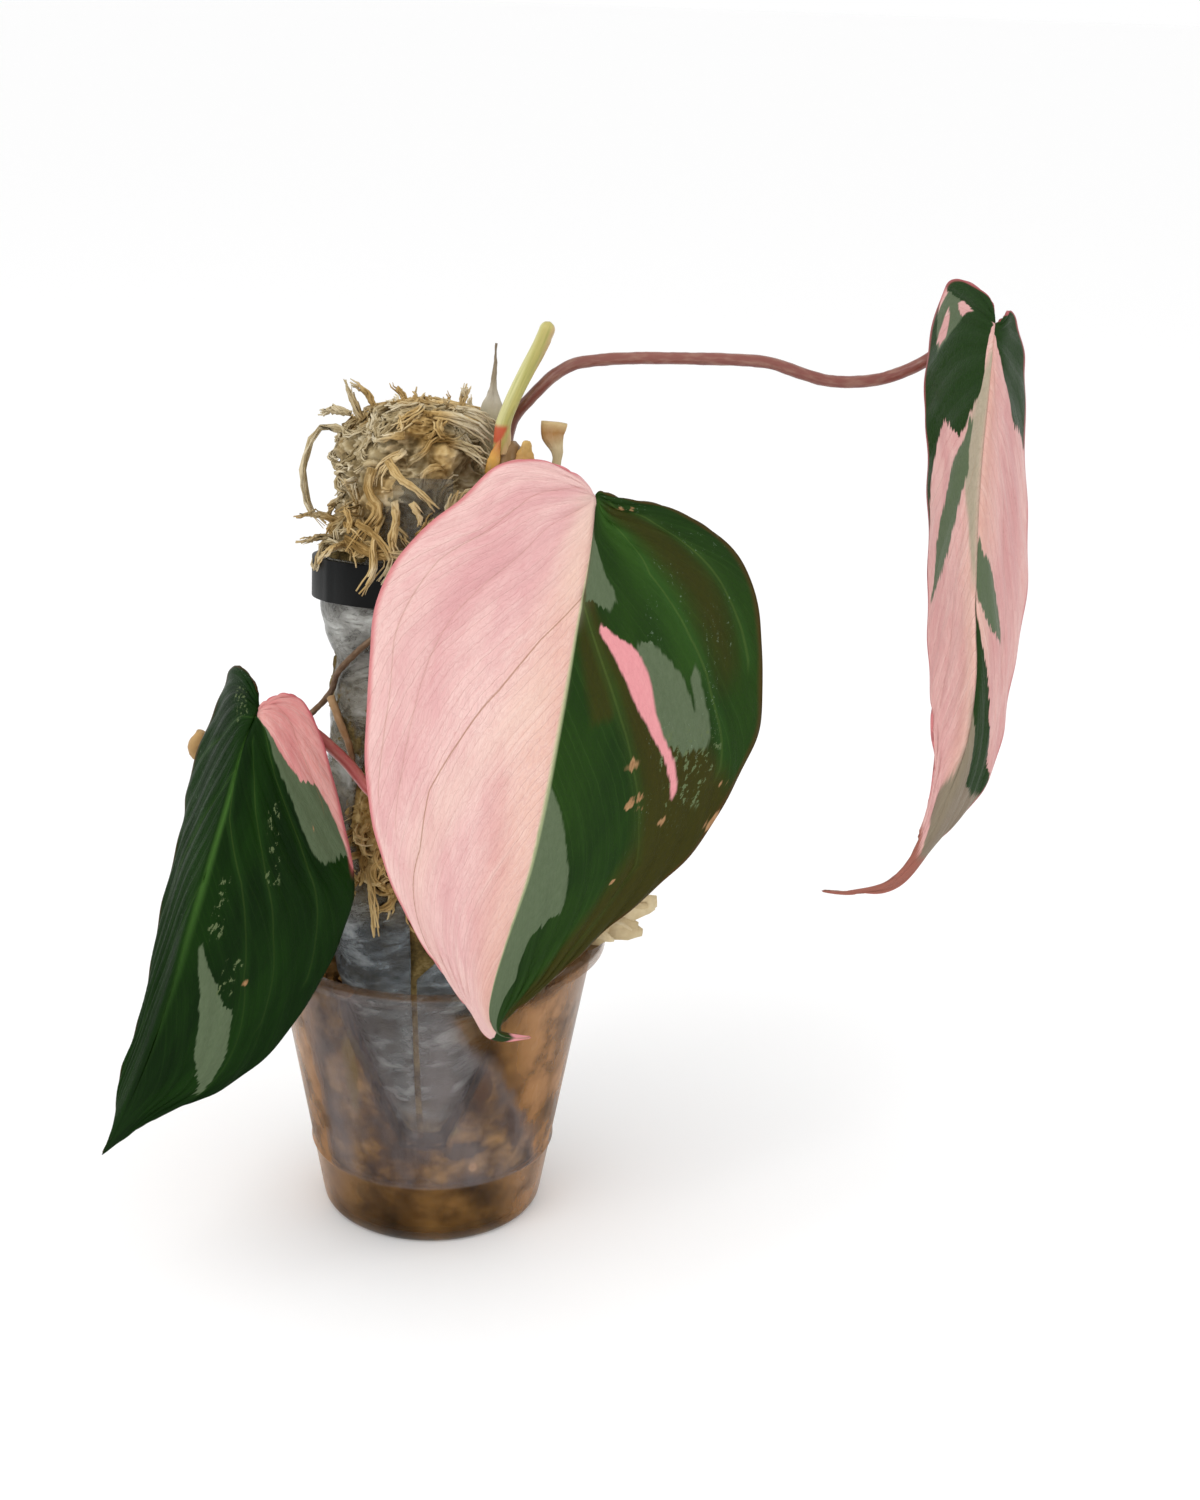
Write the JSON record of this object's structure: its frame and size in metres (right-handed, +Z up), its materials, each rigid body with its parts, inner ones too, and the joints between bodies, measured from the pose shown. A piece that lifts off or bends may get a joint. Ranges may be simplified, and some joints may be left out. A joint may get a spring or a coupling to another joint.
{
  "type": "potted variegated micans philodendron",
  "caption": "Young climbing micans philodendron with pink, sage and dark green leaves on a film-wrapped moss pole in a clear nursery pot.",
  "frame": {"origin": "middle of the pot's flat underside", "axes": "+Z up, -Y towards the viewer of the pot's front, +X towards the long stalk's hanging leaf"},
  "size_m": [0.237, 0.1364, 0.2798],
  "materials": {
    "clear_plastic": "clear, glossy",
    "grey_film": "crinkled, semi-clear film",
    "black_plastic": "glossy",
    "bark_mix": "rough bark and moss mix",
    "dry_moss": "dry fibrous moss",
    "pale_moss": "dry fibrous moss",
    "stem_skin": "dry, dull",
    "stalk_skin": "living stalk, satin",
    "leaf_skin": "living leaf, soft sheen",
    "shoot_skin": "living shoot, satin",
    "dry_husk": "dry, papery",
    "root_skin": "dry, dull"
  },
  "bodies": {
    "root": {"pot": "clear_plastic", "substrate": "bark_mix", "pole_film": "grey_film", "pole_ring": "black_plastic", "vine_stem": "stem_skin", "leaf_front": "leaf_skin", "leaf_left": "leaf_skin", "leaf_right": "leaf_skin", "petiole_front": "stalk_skin", "petiole_left": "stalk_skin", "petiole_right": "stalk_skin", "new_shoot": "shoot_skin", "dry_sheath": "dry_husk", "dry_stub": "dry_husk", "bract_stub": "dry_husk", "aerial_root_long": "root_skin", "aerial_root_short": "root_skin", "moss_tuft_right": "pale_moss", "sphagnum_moss": "dry_moss"}
  },
  "joints": []
}
